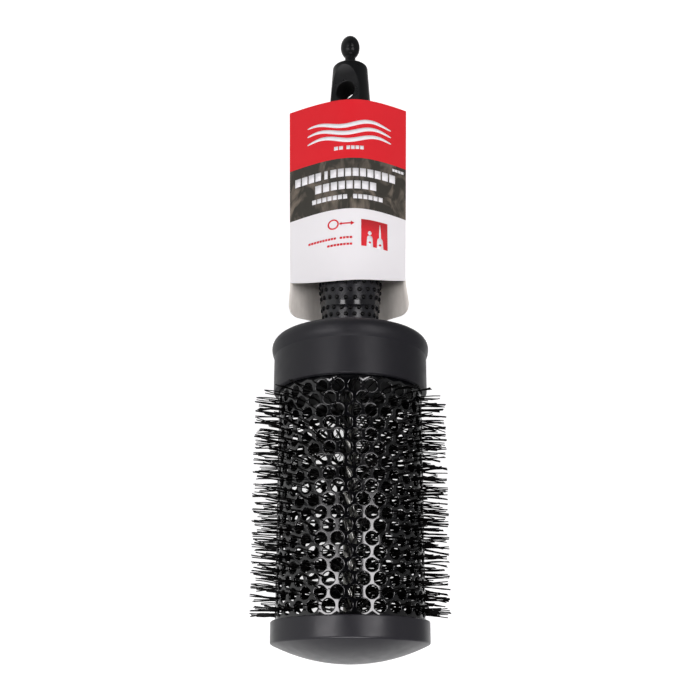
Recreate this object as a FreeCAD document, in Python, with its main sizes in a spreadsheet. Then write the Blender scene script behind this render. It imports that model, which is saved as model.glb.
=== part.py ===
import FreeCAD, Part
import math
import os
import Sketcher

# A round thermal hair brush: a perforated ceramic-coated tube with nylon bristles that come out
# through its holes, a soft-touch collar and end cap, a rubber grip, a sectioning pick stored in the
# end of the handle, and the bowed paper card sleeve that it is sold in.
#
# Every piece is drawn about the brush's own axis: Z runs from the dome of the end cap to the knob
# of the pick, and -Y is the side that the card faces. LAID_DOWN then lays the brush on its bristle
# tips, with the handle towards +Y and the face of the card towards +Z. The origin is under the
# middle of its length, on the surface that it lies on. Lengths are in millimetres.

SIZES = [
    # alias, value, meaning
    ("barrel_radius", 27.0, "outside of the perforated tube"),
    ("barrel_wall", 0.8, "thickness of the tube"),
    ("barrel_low", 10.4, "end of the tube inside the end cap"),
    ("barrel_high", 102.4, "end of the tube inside the collar"),
    ("hole_radius", 2.2, "bristle hole"),
    ("first_row", 17.7, "height of the first row of holes"),
    ("row_pitch", 4.56, "distance between two rows"),
    ("tip_radius", 36.4, "bristle tips from the axis"),
    ("spoke_radius", 0.35, "one bundle of bristles"),
    ("root_outside", 5.5, "packed bristle roots round the core"),
    ("root_inside", 2.95, "opening in the roots for the core"),
    ("root_height", 0.9, "thickness of one row of roots"),
    ("bundle_overlap", 0.6, "how far a bundle reaches into the roots"),
    ("wire_radius", 1.3, "core wire"),
    ("wire_offset", 1.38, "core wire from the axis"),
    ("wire_pitch", 22.0, "length of one turn of the twist"),
    ("wire_low", 8.0, "end of the core in the end cap"),
    ("wire_high", 131.0, "end of the core in the handle"),
    ("ferrule_bore", 2.78, "ferrules crimped on the core"),
    ("ferrule_overhang", 0.6, "ferrules past the ends of the core"),
    ("tip_ferrule_wall", 1.2, "wall of the ferrule in the end cap"),
    ("tip_ferrule_cover", 6.8, "how much of the core it holds"),
    ("anchor_ferrule_wall", 0.8, "wall of the ferrule in the handle"),
    ("anchor_ferrule_cover", 13.0, "how much of the core it holds"),
    ("fit_gap", 0.05, "between pieces that are pushed together"),
    ("cap_radius", 28.6, "end cap"),
    ("cap_dome", 6.8, "rise of the dome"),
    ("cap_top", 14.6, "open edge of the end cap"),
    ("cap_wall", 1.7, "thickness of the end cap"),
    ("cap_edge_round", 0.9, "rounded edge between the dome and the side"),
    ("cap_rim_round", 0.5, "rounded open edge of the end cap"),
    ("cap_ledge_gap", 0.4, "ledge in the end cap below the tube"),
    ("cap_shelf_rise", 0.9, "edge of the dome's inside above its outside"),
    ("insert_foot", 2.2, "end cap's plug below the tube's end"),
    ("insert_seat", 0.1, "gap between the plug's flange and the tube's end"),
    ("insert_floor", 1.2, "plug's floor above the tube's end"),
    ("insert_lip", 2.6, "plug's lip inside the tube"),
    ("insert_boss", 4.4, "plug's boss round the ferrule"),
    ("insert_lip_wall", 1.5, "thickness of the plug's lip"),
    ("boss_root_wall", 2.4, "thickness of the boss at the floor"),
    ("boss_wall", 1.6, "thickness of the boss at its top"),
    ("skirt_bore", 27.25, "cap and collar where they go over the tube"),
    ("skirt_radius", 29.0, "skirt of the collar"),
    ("skirt_low", 99.1, "open edge of the collar"),
    ("bead_low", 113.1, "foot of the bead round the collar"),
    ("bead_radius", 29.87, "widest part of the collar"),
    ("bead_height", 116.6, "height of the widest part"),
    ("bead_curve", 7.5, "underside of the bead, radius of its section"),
    ("shoulder_curve", 4.4, "shoulder, radius of its section"),
    ("collar_neck", 12.0, "top of the collar's slope"),
    ("collar_top", 124.75, "height of the collar"),
    ("neck_bore", 9.0, "collar's hole for the handle"),
    ("collar_wall", 2.4, "thickness of the collar's slope"),
    ("collar_inside_drop", 0.8, "collar's inside below the bead's widest part"),
    ("skirt_round", 0.6, "rounded open edge of the skirt"),
    ("neck_round", 1.2, "rounded edge at the top of the slope"),
    ("hub_depth", 3.4, "tube's upper plug, how deep it sits in the tube"),
    ("hub_step", 1.6, "recess round the upper plug's neck"),
    ("hub_lip_wall", 2.0, "thickness of the upper plug's lip"),
    ("hub_top", 1.3, "end of the upper plug above the bead's foot"),
    ("flange_gap", 0.1, "between the upper plug and the handle's flange"),
    ("flange_radius", 21.6, "flange of the handle core"),
    ("flange_thickness", 2.6, "thickness of the flange"),
    ("flange_relief", 0.4, "floor of the core's bore above the flange"),
    ("grip_root_radius", 9.8, "grip at the collar"),
    ("grip_low", 125.0, "grip's lower end"),
    ("grip_belly_radius", 11.95, "thickest part of the grip"),
    ("grip_belly", 152.0, "height of the thickest part"),
    ("grip_high", 203.0, "grip's upper end"),
    ("grip_end_radius", 9.75, "grip at its upper end"),
    ("core_high", 208.85, "end face of the handle core"),
    ("grip_root_skin", 1.55, "thickness of the grip at the collar"),
    ("grip_belly_skin", 1.95, "thickness of the grip at the belly"),
    ("grip_end_skin", 1.75, "thickness of the grip at its upper end"),
    ("grip_seat", 0.2, "core's step above the collar"),
    ("pin_room", 0.8, "gap round the pin inside the handle core"),
    ("core_edge_round", 0.3, "rounded edges of the core's and the pick's seats"),
    ("liner_step", 0.3, "socket liner below the core's end face"),
    ("core_end_radius", 9.4, "handle core at its end face"),
    ("socket_radius", 6.2, "socket liner, outside"),
    ("socket_bore", 5.06, "socket liner, inside"),
    ("socket_low", 196.0, "floor of the socket"),
    ("spigot_radius", 5.0, "pick's spigot"),
    ("spigot_low", 198.0, "end of the spigot"),
    ("spigot_lead", 0.4, "how much the spigot's end narrows"),
    ("spigot_lead_length", 1.0, "length of that narrowing"),
    ("head_low", 209.0, "pick head's seat on the handle"),
    ("head_low_radius", 9.35, "pick head at its seat"),
    ("head_high", 239.9, "edge of the head's flat dome"),
    ("head_high_radius", 7.15, "pick head at that edge"),
    ("head_curve", 16.0, "flat dome, radius of its section"),
    ("head_round", 0.9, "rounded edge of the flat dome"),
    ("neck_radius", 2.15, "neck under the knob"),
    ("neck_height", 241.0, "foot of the neck"),
    ("knob_radius", 3.95, "knob, half its width"),
    ("knob_half_height", 5.3, "knob, half its height"),
    ("knob_middle", 249.9, "height of the knob's middle"),
    ("eye_radius", 4.0, "hang hole"),
    ("eye_height", 227.0, "height of the hang hole"),
    ("eye_turn", 23.0, "degrees that the hang hole is turned from the card's face"),
    ("hollow_radius", 30.0, "thumb hollows round the hang hole, radius of their section"),
    ("hollow_web", 5.1, "half the thickness that they leave at the hang hole"),
    ("eye_round", 0.5, "rounded edge of the hang hole"),
    ("pin_radius", 1.6, "pick's pin"),
    ("pin_low", 139.0, "point of the pin"),
    ("pin_taper", 152.0, "start of the pin's taper"),
    ("pin_high", 215.0, "root of the pin in the head"),
    ("pin_tip_radius", 0.56, "blunt point of the pin"),
    ("pin_tip_length", 0.4, "length of that point"),
    ("card_half_width", 23.4, "middle of the card to a side crease"),
    ("card_offset", -1.1, "middle of the card from the axis"),
    ("card_thickness", 0.4, "paperboard"),
    ("card_high", 219.6, "top edge of the card"),
    ("card_front_low", 145.0, "front panel's lower corners"),
    ("card_front_dip", 4.4, "how much lower the middle of the front panel reaches"),
    ("card_back_low", 131.6, "back panel's lower edge"),
    ("card_bow_low", 13.45, "bow of the card at the back panel's lower edge"),
    ("card_bow_high", 11.3, "bow of the card at its top edge"),
    ("card_corner", 3.8, "rounded lower corners of the back panel"),
    ("flap_width", 8.0, "glue flap"),
    ("flap_gap", 0.05, "between the flap and the panel that it is glued to"),
    ("flap_low", 148.0, "glue flap's lower edge"),
    ("flap_high", 217.6, "glue flap's upper edge"),
]
ROWS = 18
HOLES_PER_ROW = 28
HOLE_STEP = 360.0 / HOLES_PER_ROW
SHOULDER_TURN = 75.0  # degrees that the collar's shoulder turns before the slope
FERRULE_GAP = 0.03  # between the upper ferrule and the handle core
BORE_MARGIN = 1.0  # room past the end of the wires, and twice that past the pin
DRILL_OVERRUN = 1.0  # millimetres past the wall or the edge that a tool cuts through
TOUCHING = 1e-4  # millimetres that still count as the same place
SHEET = "Sizes"

doc = FreeCAD.newDocument("round_brush")


class Size:
    """A number together with the spreadsheet expression that it comes from."""

    def __init__(self, value, text):
        self.value = value
        self.text = text

    def join(self, sign, other, value):
        return Size(value, "(%s %s %s)" % (self.text, sign, as_size(other).text))

    def __add__(self, other):
        return self.join("+", other, self.value + as_size(other).value)

    def __sub__(self, other):
        return self.join("-", other, self.value - as_size(other).value)

    def __mul__(self, other):
        return self.join("*", other, self.value * as_size(other).value)

    def __truediv__(self, other):
        return self.join("/", other, self.value / as_size(other).value)


def as_size(thing):
    return thing if isinstance(thing, Size) else Size(float(thing), "%g" % thing)


class Sizes:
    """The driving dimensions, each a cell of the spreadsheet with an alias."""

    def __init__(self, rows):
        sheet = doc.addObject("Spreadsheet::Sheet", SHEET)
        for line, (alias, value, meaning) in enumerate(rows, start=1):
            sheet.set("A%d" % line, meaning)
            sheet.set("B%d" % line, "%g" % value)
            sheet.setAlias("B%d" % line, alias)
            setattr(self, alias, Size(value, "%s.%s" % (SHEET, alias)))
        doc.recompute()


size = Sizes(SIZES)

overall_length = size.knob_middle.value + size.knob_half_height.value
lowest_tip_angle = math.radians(HOLE_STEP / 4)
lift = (size.tip_radius.value * math.cos(lowest_tip_angle)
        + size.spoke_radius.value * math.sin(lowest_tip_angle))
LAID_DOWN = FreeCAD.Placement(
    FreeCAD.Vector(0, -overall_length / 2, lift),
    FreeCAD.Rotation(FreeCAD.Vector(1, 0, 0), -90))

subparts = []


def keep(item, label):
    """Names a finished piece, lays it down with the rest of the brush and keeps it."""
    item.Label = label
    item.Placement = LAID_DOWN
    subparts.append(item)
    return item


def bind(item, **properties):
    """Binds properties of an object to the spreadsheet."""
    for name, amount in properties.items():
        item.setExpression(name, as_size(amount).text)
    return item


# ---------------------------------------------------------------- sketches and turned pieces

def add_edge(sketch, start, end, curve):
    """Adds a line, or an arc of radius |curve| that turns left (+) or right (-) on its way.

    Returns the edge's number and which of its ends lie at start and end."""
    if not curve:
        return sketch.addGeometry(Part.LineSegment(start, end), False), 1, 2
    radius = abs(as_size(curve).value)
    left = curve_side(curve)
    chord = end.sub(start)
    half = chord.Length / 2
    sideways = FreeCAD.Vector(-chord.y, chord.x, 0).normalize()
    centre = start.add(end).multiply(0.5).add(
        sideways.multiply(left * math.sqrt(radius ** 2 - half ** 2)))
    first, last = (start, end) if left > 0 else (end, start)
    angles = [math.atan2(p.y - centre.y, p.x - centre.x) for p in (first, last)]
    circle = Part.Circle(centre, FreeCAD.Vector(0, 0, 1), radius)
    number = sketch.addGeometry(Part.ArcOfCircle(circle, angles[0], angles[1]), False)
    return (number, 1, 2) if left > 0 else (number, 2, 1)


def curve_side(curve):
    return 1 if as_size(curve).value > 0 else -1


def place_point(sketch, edge, end, across, along):
    """Fixes an end of an edge at a place that is bound to the spreadsheet."""
    for kind, axis, amount in (("DistanceX", -2, across), ("DistanceY", -1, along)):
        amount = as_size(amount)
        if amount.value == 0:
            sketch.addConstraint(Sketcher.Constraint("PointOnObject", edge, end, axis))
            continue
        number = sketch.addConstraint(
            Sketcher.Constraint(kind, -1, 1, edge, end, amount.value))
        sketch.setExpression("Constraints[%d]" % number, amount.text)


def draw_outline(sketch, corners):
    """Draws a closed outline. A corner is (across, along) or (across, along, curve),

    where curve is the radius of the arc that leads to the next corner."""
    points = [FreeCAD.Vector(as_size(c[0]).value, as_size(c[1]).value, 0) for c in corners]
    edges = []
    for i, corner in enumerate(corners):
        curve = corner[2] if len(corner) > 2 else None
        edges.append(add_edge(sketch, points[i], points[(i + 1) % len(points)], curve))
    for i, (number, start, end) in enumerate(edges):
        following, its_start, _ = edges[(i + 1) % len(edges)]
        sketch.addConstraint(
            Sketcher.Constraint("Coincident", number, end, following, its_start))
    for (number, start, _), corner in zip(edges, corners):
        place_point(sketch, number, start, corner[0], corner[1])
        if len(corner) > 2:
            radius = as_size(corner[2])
            sign = curve_side(radius)
            rule = sketch.addConstraint(
                Sketcher.Constraint("Radius", number, abs(radius.value)))
            sketch.setExpression("Constraints[%d]" % rule, (radius * sign).text)


def origin_plane(body, role):
    return next(f for f in body.Origin.OriginFeatures if f.Role == role)


def turned_body(name, corners):
    """A solid of revolution about Z. The outline's corners are (radius, height, curve)."""
    body = doc.addObject("PartDesign::Body", name)
    sketch = body.newObject("Sketcher::SketchObject", name + "_outline")
    sketch.AttachmentSupport = (origin_plane(body, "XZ_Plane"), [""])
    sketch.MapMode = "FlatFace"
    draw_outline(sketch, corners)
    turn = body.newObject("PartDesign::Revolution", name + "_turned")
    turn.Profile = sketch
    turn.ReferenceAxis = (sketch, ["V_Axis"])
    turn.Angle = 360.0
    sketch.Visibility = False
    doc.recompute()
    return body


def circles_at(shape, radius, height):
    """Names of the circular edges of a radius at a height."""
    names = []
    for number, edge in enumerate(shape.Edges, start=1):
        if edge.Degenerated or not isinstance(edge.Curve, Part.Circle):
            continue
        off_radius = abs(edge.Curve.Radius - radius.value)
        off_height = abs(edge.Curve.Center.z - height.value)
        if off_radius < TOUCHING and off_height < TOUCHING:
            names.append("Edge%d" % number)
    return names


def round_edges(body, rims, amount):
    """Rounds circular edges, each given as (radius, height)."""
    base = body.Tip
    names = [n for radius, height in rims for n in circles_at(base.Shape, radius, height)]
    fillet = body.newObject("PartDesign::Fillet", body.Name + "_rounded")
    fillet.Base = (base, names)
    bind(fillet, Radius=amount)
    body.Tip = fillet
    doc.recompute()


def ring(name, bore, outside, low, high):
    return turned_body(name, [(bore, low), (outside, low), (outside, high), (bore, high)])


# ---------------------------------------------------------------- barrel

def hole_angle(row, place):
    """Direction of a hole in degrees. Neighbouring rows are staggered by half a step."""
    stagger = HOLE_STEP / 4 if row % 2 else -HOLE_STEP / 4
    return -90 + stagger + place * HOLE_STEP


def row_height(row):
    return size.first_row.value + row * size.row_pitch.value


def radial_rod(radius, start, end, angle, height):
    """A round rod that points away from the axis."""
    outward = FreeCAD.Vector(math.cos(math.radians(angle)), math.sin(math.radians(angle)), 0)
    foot = FreeCAD.Vector(outward).multiply(start).add(FreeCAD.Vector(0, 0, height))
    return Part.makeCylinder(radius, end - start, foot, outward)


def make_barrel():
    """The tube, drilled with staggered rows of holes (the drills are one compound)."""
    tube = ring("barrel_tube", size.barrel_radius - size.barrel_wall, size.barrel_radius,
                size.barrel_low, size.barrel_high)
    inner = size.barrel_radius.value - size.barrel_wall.value
    drills = doc.addObject("Part::Feature", "barrel_drills")
    drills.Shape = Part.makeCompound([
        radial_rod(size.hole_radius.value, inner - DRILL_OVERRUN,
                   size.barrel_radius.value + DRILL_OVERRUN,
                   hole_angle(row, place), row_height(row))
        for row in range(ROWS) for place in range(HOLES_PER_ROW)])
    barrel = doc.addObject("Part::Cut", "barrel")
    barrel.Base = tube
    barrel.Tool = drills
    keep(barrel, "barrel")


# ---------------------------------------------------------------- twisted core and bristles

def make_core_wires():
    """Two wires twisted together, left-handed, with the bristles' roots between them."""
    for label, start_angle in (("core_wire_a", 0), ("core_wire_b", 180)):
        turn = FreeCAD.Rotation(FreeCAD.Vector(0, 0, 1), start_angle)
        helix = doc.addObject("Part::Helix", label + "_path")
        helix.LocalCoord = "Left-handed"
        bind(helix, Pitch=size.wire_pitch, Radius=size.wire_offset,
             Height=size.wire_high - size.wire_low)
        helix.Placement = FreeCAD.Placement(FreeCAD.Vector(0, 0, size.wire_low.value), turn)
        doc.recompute()
        start = helix.Shape.Edges[0]
        along = start.tangentAt(start.FirstParameter)
        section = doc.addObject("Part::Circle", label + "_section")
        bind(section, Radius=size.wire_radius)
        section.Placement = FreeCAD.Placement(
            start.valueAt(start.FirstParameter),
            FreeCAD.Rotation(FreeCAD.Vector(0, 0, 1), along))
        wire = doc.addObject("Part::Sweep", label)
        wire.Sections = [section]
        wire.Spine = (helix, ["Edge%d" % (i + 1) for i in range(len(helix.Shape.Edges))])
        wire.Solid = True
        wire.Frenet = True
        doc.recompute()
        keep(wire, label)


def make_bristle_row():
    """One row: the packed roots round the core and a straight bundle out of every hole."""
    roots = ring("bristle_roots", size.root_inside, size.root_outside,
                 size.first_row - size.root_height / 2, size.first_row + size.root_height / 2)
    start = size.root_outside.value - size.bundle_overlap.value
    bundles = [radial_rod(size.spoke_radius.value, start, size.tip_radius.value,
                          hole_angle(0, place), size.first_row.value)
               for place in range(HOLES_PER_ROW)]
    return roots.Shape.multiFuse(bundles)


def make_bristle_rows():
    """All the rows, each a solid of its own, turned half a step from its neighbours."""
    row = make_bristle_row()
    axis = FreeCAD.Vector(0, 0, 1)
    rows = []
    for number in range(ROWS):
        copy = row.copy()
        copy.rotate(FreeCAD.Vector(0, 0, 0), axis, hole_angle(number, 0) - hole_angle(0, 0))
        copy.translate(axis * (number * size.row_pitch.value))
        rows.append(copy)
    bristles = doc.addObject("Part::Feature", "bristle_rows")
    bristles.Shape = Part.makeCompound([solid for row in rows for solid in row.Solids])
    keep(bristles, "bristle_rows")


def make_ferrules():
    """Tubes crimped on both ends of the core."""
    tip = ring("core_tip_ferrule", size.ferrule_bore, size.ferrule_bore + size.tip_ferrule_wall,
               size.wire_low - size.ferrule_overhang, size.wire_low + size.tip_ferrule_cover)
    anchor = ring("core_anchor_ferrule", size.ferrule_bore,
                  size.ferrule_bore + size.anchor_ferrule_wall,
                  size.wire_high - size.anchor_ferrule_cover,
                  size.wire_high + size.ferrule_overhang)
    keep(tip, "core_tip_ferrule")
    keep(anchor, "core_anchor_ferrule")


# ---------------------------------------------------------------- end cap

def dome_curve(half_width, rise):
    """Radius of an arc that rises by rise over half_width."""
    return (half_width * half_width + rise * rise) / (rise * 2)


def make_end_cap():
    """A shallow dome with a straight side that goes over the end of the tube."""
    radius = size.cap_radius
    shelf = radius - size.cap_wall * 2
    ledge = size.barrel_low - size.cap_ledge_gap
    outside = dome_curve(radius, size.cap_dome)
    cap = turned_body("end_cap", [
        (0, 0, outside),
        (radius, size.cap_dome),
        (radius, size.cap_top),
        (size.skirt_bore, size.cap_top),
        (size.skirt_bore, ledge),
        (shelf, ledge),
        (shelf, size.cap_dome + size.cap_shelf_rise, (outside - size.cap_wall) * -1),
        (0, size.cap_wall)])
    round_edges(cap, [(radius, size.cap_dome)], size.cap_edge_round)
    round_edges(cap, [(radius, size.cap_top)], size.cap_rim_round)
    keep(cap, "end_cap")

    end = size.barrel_low
    bore = size.ferrule_bore + size.tip_ferrule_wall + size.fit_gap
    foot_radius = shelf - size.cap_ledge_gap
    lip_radius = size.barrel_radius - size.barrel_wall - size.fit_gap
    insert = turned_body("cap_insert", [
        (bore, end - size.insert_foot),
        (foot_radius, end - size.insert_foot),
        (foot_radius, end + size.insert_seat),
        (lip_radius, end + size.insert_seat),
        (lip_radius, end + size.insert_lip),
        (lip_radius - size.insert_lip_wall, end + size.insert_lip),
        (lip_radius - size.insert_lip_wall, end + size.insert_floor),
        (bore + size.boss_root_wall, end + size.insert_floor),
        (bore + size.boss_wall, end + size.insert_boss),
        (bore, end + size.insert_boss)])
    keep(insert, "cap_insert")


# ---------------------------------------------------------------- collar

def make_collar():
    """The soft-touch collar: a skirt over the tube, a bead, a round shoulder and a low slope."""
    shoulder_turn = math.radians(SHOULDER_TURN)
    slope_start_radius = size.bead_radius - size.shoulder_curve * (1 - math.cos(shoulder_turn))
    slope_start = size.bead_height + size.shoulder_curve * math.sin(shoulder_turn)
    collar = turned_body("collar", [
        (size.skirt_bore, size.skirt_low),
        (size.skirt_radius, size.skirt_low),
        (size.skirt_radius, size.bead_low, size.bead_curve),
        (size.bead_radius, size.bead_height, size.shoulder_curve),
        (slope_start_radius, slope_start),
        (size.collar_neck, size.collar_top),
        (size.neck_bore, size.collar_top),
        (size.neck_bore, size.collar_top - size.collar_wall),
        (slope_start_radius - size.collar_wall, slope_start - size.collar_wall),
        (size.skirt_bore, size.bead_height - size.collar_inside_drop)])
    round_edges(collar, [(size.skirt_radius, size.skirt_low)], size.skirt_round)
    round_edges(collar, [(size.collar_neck, size.collar_top)], size.neck_round)
    keep(collar, "collar")

    end = size.barrel_high
    lip_radius = size.barrel_radius - size.barrel_wall - size.fit_gap
    hub = turned_body("barrel_hub", [
        (size.root_inside, end - size.hub_depth),
        (lip_radius, end - size.hub_depth),
        (lip_radius, end),
        (lip_radius - size.hub_lip_wall, end),
        (lip_radius - size.hub_lip_wall, end - size.hub_step),
        (size.neck_bore, end - size.hub_step),
        (size.neck_bore, size.bead_low + size.hub_top),
        (size.root_inside, size.bead_low + size.hub_top)])
    keep(hub, "barrel_hub")


# ---------------------------------------------------------------- handle

def make_handle():
    """A rigid core with a flange inside the collar, a rubber grip over it and a socket."""
    flange_low = size.bead_low + size.hub_top + size.flange_gap
    flange_high = flange_low + size.flange_thickness
    ferrule_room = size.ferrule_bore + size.anchor_ferrule_wall + FERRULE_GAP
    pin_room = size.pin_radius + size.pin_room
    core = turned_body("handle_core", [
        (size.root_inside, flange_low),
        (size.flange_radius, flange_low),
        (size.flange_radius, flange_high),
        (size.neck_bore - size.fit_gap, flange_high),
        (size.neck_bore - size.fit_gap, size.collar_top + size.grip_seat),
        (size.grip_root_radius - size.grip_root_skin - size.fit_gap,
         size.collar_top + size.grip_seat),
        (size.grip_belly_radius - size.grip_belly_skin - size.fit_gap, size.grip_belly),
        (size.grip_end_radius - size.grip_end_skin - size.fit_gap,
         size.grip_high + size.fit_gap),
        (size.grip_end_radius, size.grip_high + size.fit_gap),
        (size.core_end_radius, size.core_high),
        (size.socket_radius + size.fit_gap, size.core_high),
        (size.socket_radius + size.fit_gap, size.socket_low),
        (pin_room, size.socket_low),
        (pin_room, size.pin_low - BORE_MARGIN * 2),
        (ferrule_room, size.wire_high + BORE_MARGIN),
        (ferrule_room, flange_high + size.flange_relief),
        (size.root_inside, flange_high + size.flange_relief)])
    round_edges(core, [(size.core_end_radius, size.core_high)], size.core_edge_round)
    keep(core, "handle_core")

    below = size.grip_belly - size.grip_low
    above = size.grip_high - size.grip_belly
    grip = turned_body("grip_sleeve", [
        (size.grip_root_radius - size.grip_root_skin, size.grip_low),
        (size.grip_root_radius, size.grip_low,
         dome_curve(below, size.grip_belly_radius - size.grip_root_radius)),
        (size.grip_belly_radius, size.grip_belly,
         dome_curve(above, size.grip_belly_radius - size.grip_end_radius)),
        (size.grip_end_radius, size.grip_high),
        (size.grip_end_radius - size.grip_end_skin, size.grip_high),
        (size.grip_belly_radius - size.grip_belly_skin, size.grip_belly)])
    keep(grip, "grip_sleeve")

    socket = ring("pick_socket", size.socket_bore, size.socket_radius,
                  size.socket_low + size.fit_gap, size.core_high - size.liner_step)
    keep(socket, "pick_socket")


# ---------------------------------------------------------------- sectioning pick

def eye_direction(axis):
    """Lays a tool that stands on Z down about an axis, then turns it with the hang hole."""
    turn = FreeCAD.Rotation(FreeCAD.Vector(0, 0, 1), -size.eye_turn.value)
    return turn.multiply(FreeCAD.Rotation(axis, 90))


def eye_tool(name, radius, direction, offset):
    """A round tool that goes right through the head, offset from the hang hole's middle."""
    tool = doc.addObject("Part::Cylinder", name)
    bind(tool, Radius=radius, Height=size.head_low_radius * 4)
    reach = size.head_low_radius.value * 2
    middle = FreeCAD.Vector(0, 0, size.eye_height.value).add(offset)
    tool.Placement = FreeCAD.Placement(
        direction.multVec(FreeCAD.Vector(0, 0, -reach)).add(middle), direction)
    return tool


def eye_distance(point, across):
    """How far a point lies from the axis of the hang hole."""
    middle = FreeCAD.Vector(0, 0, size.eye_height.value)
    local = across.inverted().multVec(point.sub(middle))
    return math.hypot(local.x, local.y)


def eye_mouths(shape, across):
    """Numbers of the curved edges where the hang hole meets the outside of the head."""
    return [number for number, edge in enumerate(shape.Edges, start=1)
            if not edge.Degenerated
            and not isinstance(edge.Curve, (Part.Line, Part.LineSegment))
            and all(abs(eye_distance(point, across) - size.eye_radius.value) < 1e-3
                    for point in edge.discretize(5))]


def make_pick():
    """The pick: a head with a hang hole and a knob, which plugs into the handle, and its pin."""
    head = turned_body("pick_head_turned", [
        (size.pin_radius, size.spigot_low),
        (size.spigot_radius - size.spigot_lead, size.spigot_low),
        (size.spigot_radius, size.spigot_low + size.spigot_lead_length),
        (size.spigot_radius, size.head_low),
        (size.head_low_radius, size.head_low),
        (size.head_high_radius, size.head_high, size.head_curve),
        (size.neck_radius, size.neck_height),
        (size.neck_radius, size.knob_middle),
        (0, size.knob_middle),
        (0, size.pin_high),
        (size.pin_radius, size.pin_high)])
    round_edges(head, [(size.head_low_radius, size.head_low)], size.core_edge_round)
    round_edges(head, [(size.head_high_radius, size.head_high)], size.head_round)

    knob = doc.addObject("Part::Ellipsoid", "pick_knob")
    bind(knob, Radius1=size.knob_half_height, Radius2=size.knob_radius,
         Radius3=size.knob_radius)
    knob.Angle1, knob.Angle2, knob.Angle3 = -90, 90, 360
    knob.setExpression("Placement.Base.z", size.knob_middle.text)

    whole = doc.addObject("Part::MultiFuse", "pick_head_whole")
    whole.Shapes = [head, knob]

    across = eye_direction(FreeCAD.Vector(1, 0, 0))
    sideways = eye_direction(FreeCAD.Vector(0, 1, 0))
    outward = across.multVec(FreeCAD.Vector(0, 0, 1))
    away = size.hollow_radius.value + size.hollow_web.value
    tools = doc.addObject("Part::MultiFuse", "pick_eye_tools")
    tools.Shapes = [
        eye_tool("pick_eye_drill", size.eye_radius, across, FreeCAD.Vector()),
        eye_tool("pick_hollow_front", size.hollow_radius, sideways, outward * away),
        eye_tool("pick_hollow_back", size.hollow_radius, sideways, outward * -away)]

    cut = doc.addObject("Part::Cut", "pick_head_cut")
    cut.Base = whole
    cut.Tool = tools
    doc.recompute()

    mouths = eye_mouths(cut.Shape, across)
    rounded = doc.addObject("Part::Fillet", "pick_head")
    rounded.Base = cut
    rounded.Edges = [(number, size.eye_round.value, size.eye_round.value) for number in mouths]
    keep(rounded, "pick_head")

    pin = turned_body("pick_pin", [
        (0, size.pin_low),
        (size.pin_tip_radius, size.pin_low + size.pin_tip_length),
        (size.pin_radius, size.pin_taper),
        (size.pin_radius, size.pin_high),
        (0, size.pin_high)])
    keep(pin, "pick_pin")


# ---------------------------------------------------------------- card sleeve

def card_bow(height):
    """How far the card bows out at a height. It eases off towards the top edge."""
    slope = (size.card_bow_low - size.card_bow_high) / (size.card_high - size.card_back_low)
    return size.card_bow_high + (size.card_high - height) * slope


def bow_section(name, side, height, inset):
    """The bowed paperboard cut across at a height, on the front (-1) or back (+1)."""
    half = size.card_half_width
    outside = dome_curve(half, card_bow(height))

    def edge(depth):
        return half - outside * depth / half, card_bow(height) - depth

    outer_half, outer_bow = edge(inset)
    inner_half, inner_bow = edge(size.card_thickness + inset)
    outer_curve = dome_curve(outer_half, outer_bow) * side
    inner_curve = dome_curve(inner_half, inner_bow) * -side
    sketch = doc.addObject("Sketcher::SketchObject", name)
    draw_outline(sketch, [
        (size.card_offset + outer_half, 0, outer_curve),
        (size.card_offset - outer_half, 0),
        (size.card_offset - inner_half, 0, inner_curve),
        (size.card_offset + inner_half, 0)])
    sketch.setExpression("Placement.Base.z", height.text)
    return sketch


def die_cut(name, corners):
    """A thick slab with the outline of a panel seen from the front."""
    sketch = doc.addObject("Sketcher::SketchObject", name + "_outline")
    draw_outline(sketch, corners)
    sketch.Placement = FreeCAD.Placement(
        FreeCAD.Vector(), FreeCAD.Rotation(FreeCAD.Vector(1, 0, 0), 90))
    slab = doc.addObject("Part::Extrusion", name + "_slab")
    slab.Base = sketch
    slab.DirMode = "Normal"
    slab.Symmetric = True
    slab.Solid = True
    bind(slab, LengthFwd=size.card_half_width * 2)
    return slab


def card_panel(label, side, inset, corners):
    """A bowed sheet, straight from its lower to its upper section, cut to an outline."""
    sheet = doc.addObject("Part::Loft", label + "_sheet")
    sheet.Sections = [
        bow_section(label + "_lower_section", side, size.card_back_low, inset),
        bow_section(label + "_upper_section", side, size.card_high, inset)]
    sheet.Solid = True
    sheet.Ruled = True
    panel = doc.addObject("Part::Common", label)
    panel.Base = sheet
    panel.Tool = die_cut(label, corners)
    doc.recompute()
    keep(panel, label)


def make_card():
    """The sleeve: two bowed panels that meet at side creases, and a glue flap inside."""
    left = size.card_offset - size.card_half_width
    right = size.card_offset + size.card_half_width
    over = size.card_high + DRILL_OVERRUN
    aside = DRILL_OVERRUN
    corner = size.card_corner
    card_panel("card_front", -1, 0, [
        (left, size.card_front_low, dome_curve(size.card_half_width, size.card_front_dip)),
        (right, size.card_front_low),
        (right + aside, size.card_front_low),
        (right + aside, over),
        (left - aside, over),
        (left - aside, size.card_front_low)])
    card_panel("card_back", 1, 0, [
        (left, size.card_back_low + corner, corner),
        (left + corner, size.card_back_low),
        (right - corner, size.card_back_low, corner),
        (right, size.card_back_low + corner),
        (right, over),
        (left, over)])
    card_panel("card_glue_flap", 1, size.card_thickness + size.flap_gap, [
        (left - aside, size.flap_low),
        (left + size.flap_width, size.flap_low),
        (left + size.flap_width, size.flap_high),
        (left - aside, size.flap_high)])


# ---------------------------------------------------------------- checks and files

def check_document():
    """Stops if an object failed to recompute or a piece has no sound shape."""
    doc.recompute()
    for item in doc.Objects:
        if "Invalid" in item.State or "Error" in item.State:
            raise RuntimeError("%s failed: %s" % (item.Name, item.State))
    for item in subparts:
        if item.Shape.isNull() or not item.Shape.isValid():
            raise RuntimeError("%s has no sound shape" % item.Label)


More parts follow.
